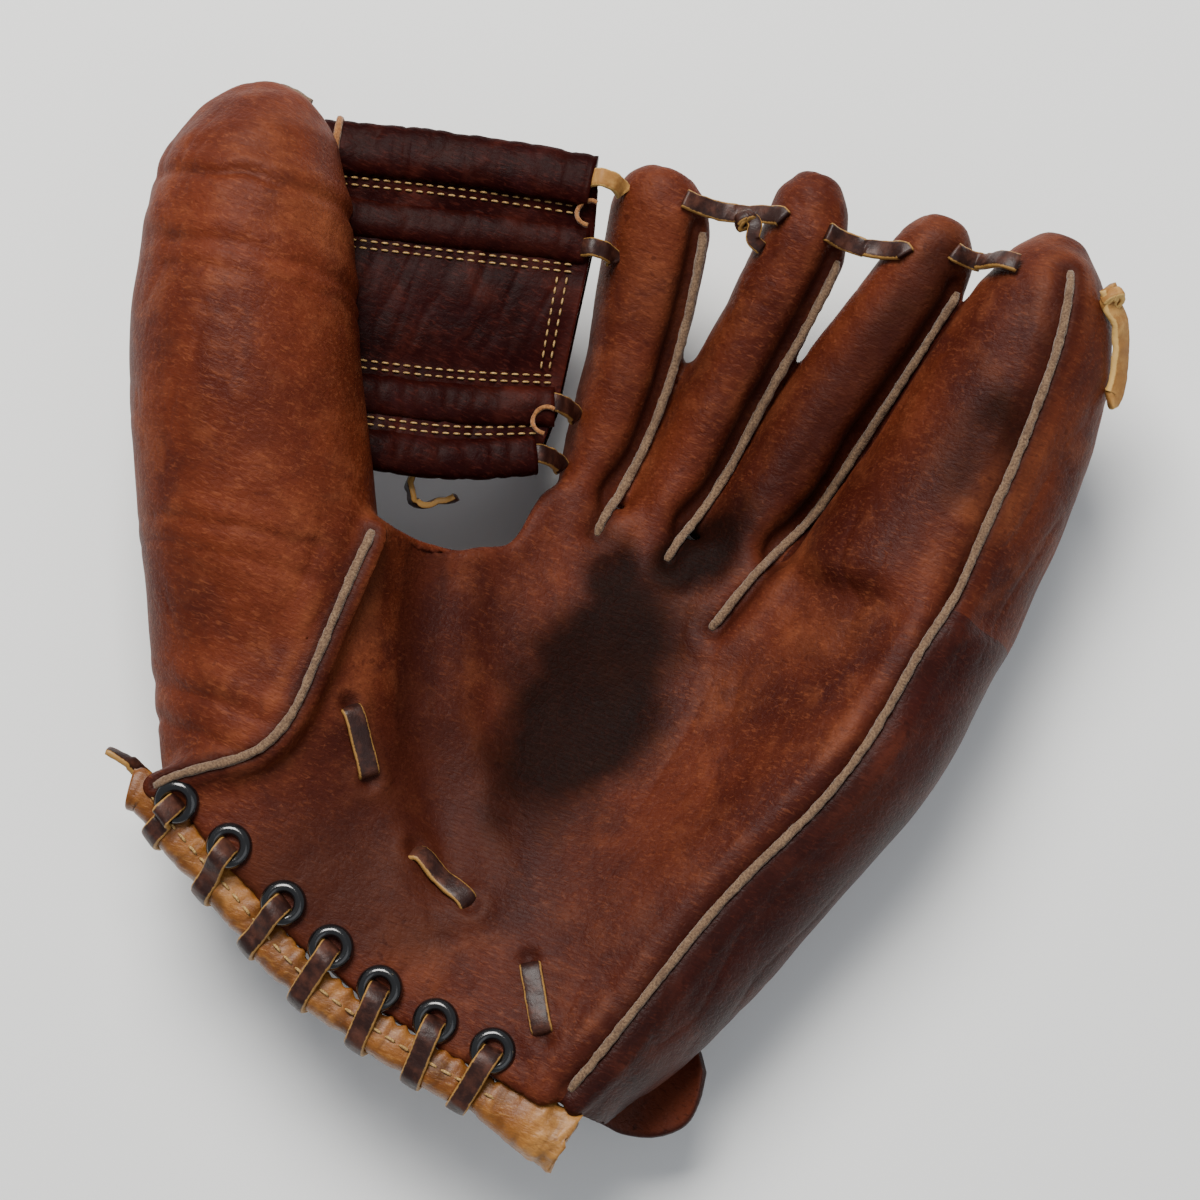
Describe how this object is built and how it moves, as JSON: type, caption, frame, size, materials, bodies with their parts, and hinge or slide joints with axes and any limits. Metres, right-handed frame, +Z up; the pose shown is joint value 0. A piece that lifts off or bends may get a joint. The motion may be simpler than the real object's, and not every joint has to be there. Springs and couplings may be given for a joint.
{
  "type": "baseball fielder's glove",
  "caption": "Worn leather baseball fielder's glove with separate finger stalls, a laced web, laced heel and wrist strap, lying on its back.",
  "frame": {"origin": "middle of the footprint, on the surface the glove lies on, palm up", "axes": "+Z up out of the palm, +Y towards the fingertips, +X towards the little finger, thumb on the -X side"},
  "size_m": [0.271, 0.285, 0.098],
  "materials": {
    "palm_leather": "satin, worn and oiled, fine grain",
    "thumb_leather": "satin, worn, orange brown",
    "side_leather": "satin, dark red brown",
    "web_leather": "satin, dark oxblood brown",
    "lining_leather": "matte, soft tan",
    "padding": "matte felt",
    "welting": "matte, raw edge",
    "binding_leather": "glossy, cracked tan",
    "lace_leather": "satin rawhide with pale edges",
    "strap_leather": "satin, tan inside",
    "eyelet_enamel": "glossy black enamel"
  },
  "bodies": {
    "hand": {"palm_panel": "palm_leather", "palm_felt": "padding", "heel_pad": "padding", "palm_liner": "lining_leather", "heel_liner": "lining_leather", "outer_side_panel": "side_leather", "outer_side_pad": "padding", "back_panel": "side_leather", "back_liner": "lining_leather", "crotch_gusset": "side_leather", "index_front": "palm_leather", "index_back": "side_leather", "index_stall_pad": "padding", "middle_front": "palm_leather", "middle_back": "side_leather", "middle_stall_pad": "padding", "ring_front": "palm_leather", "ring_back": "side_leather", "ring_stall_pad": "padding", "pinky_front": "palm_leather", "pinky_back": "side_leather", "pinky_stall_pad": "padding", "index_welt": "welting", "middle_welt": "welting", "ring_welt": "welting", "pinky_welt": "welting", "thumb_welt": "welting", "heel_binding": "binding_leather", "heel_eyelets": "eyelet_enamel", "heel_lace": "lace_leather", "palm_laces": "lace_leather", "tip_lace_index_middle": "lace_leather", "tip_lace_middle_ring": "lace_leather", "tip_lace_ring_pinky": "lace_leather", "pinky_lace_tail": "lace_leather", "wrist_strap": "strap_leather", "strap_lace": "lace_leather", "web_top_roll": "web_leather", "web_upper_roll": "web_leather", "web_lower_roll": "web_leather", "web_bottom_roll": "web_leather", "web_front_panel": "web_leather", "web_back_panel": "web_leather", "web_index_laces": "lace_leather", "web_thumb_lace": "lace_leather", "web_lace_tail": "lace_leather"},
    "thumb": {"thumb_front": "thumb_leather", "thumb_back": "side_leather", "thumb_stall_pad": "padding", "thumb_tip_welt": "welting"}
  },
  "joints": [
    {"name": "thumb_fold", "type": "hinge", "parent": "hand", "child": "thumb", "pos_m": [-0.04103, -0.03351, 0.079], "axis": [0, 1, 0], "range_deg": [0, 50], "deforming": ["web_top_roll", "web_upper_roll", "web_lower_roll", "web_bottom_roll", "web_front_panel", "web_back_panel", "web_index_laces", "web_thumb_lace", "web_lace_tail"]}
  ]
}
